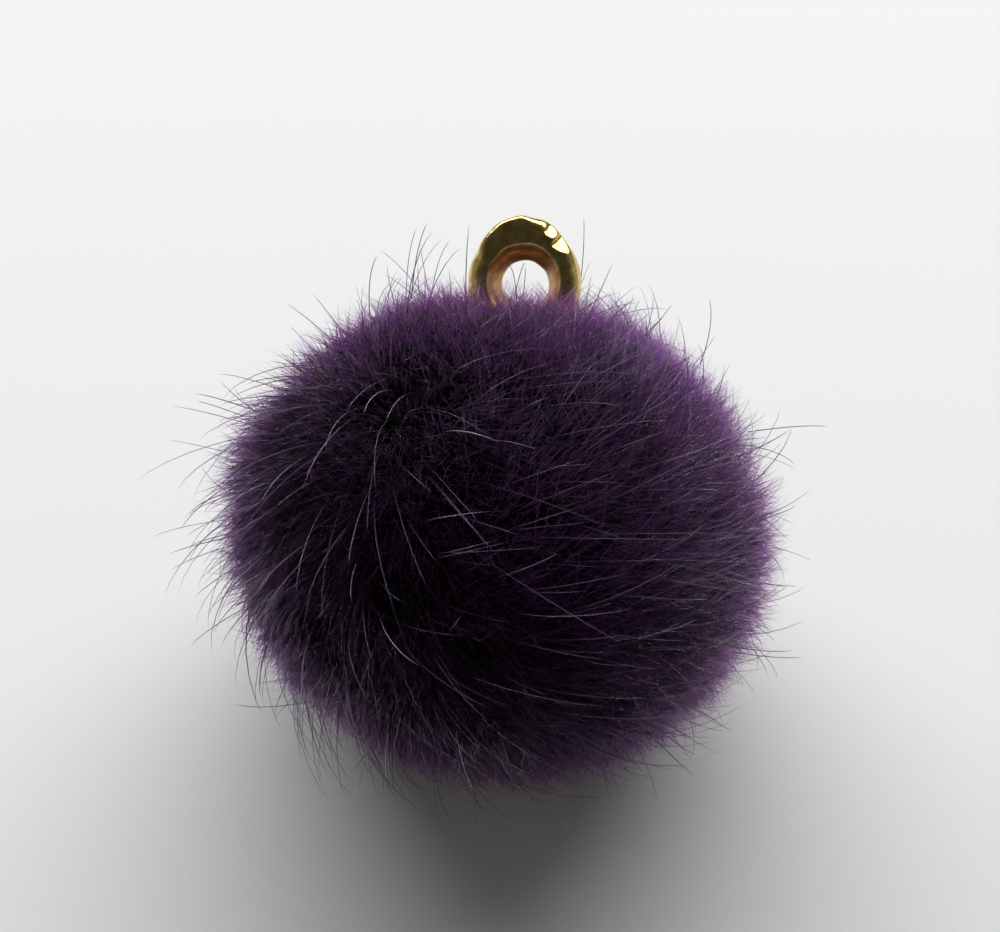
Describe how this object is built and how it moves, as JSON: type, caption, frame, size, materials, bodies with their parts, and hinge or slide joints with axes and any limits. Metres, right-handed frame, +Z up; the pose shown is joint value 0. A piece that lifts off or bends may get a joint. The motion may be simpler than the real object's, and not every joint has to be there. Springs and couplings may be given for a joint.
{
  "type": "faux fur pom pom charm",
  "caption": "Small ball of dense faux fur with a gold-plated loop, hung as a charm or trimming; it rests on a small flat spot in its pile with the loop pointing back and up",
  "frame": {"origin": "middle of the small flat spot under the ball, on the surface it rests on", "axes": "+Z up, -Y the front, from which the ball is seen from above; the loop's axis rises 39.5 degrees from the surface and points back, 10.4 degrees to the right of +Y"},
  "size_m": [0.0245, 0.0221, 0.0199],
  "materials": {
    "faux_fur": "dense dyed acrylic pile with long sparse guard hairs, dark aubergine",
    "gold_plate": "cast zinc alloy, gold plated and polished"
  },
  "bodies": {
    "root": {"fur_ball": "faux_fur", "hanging_loop": "gold_plate"}
  },
  "joints": []
}
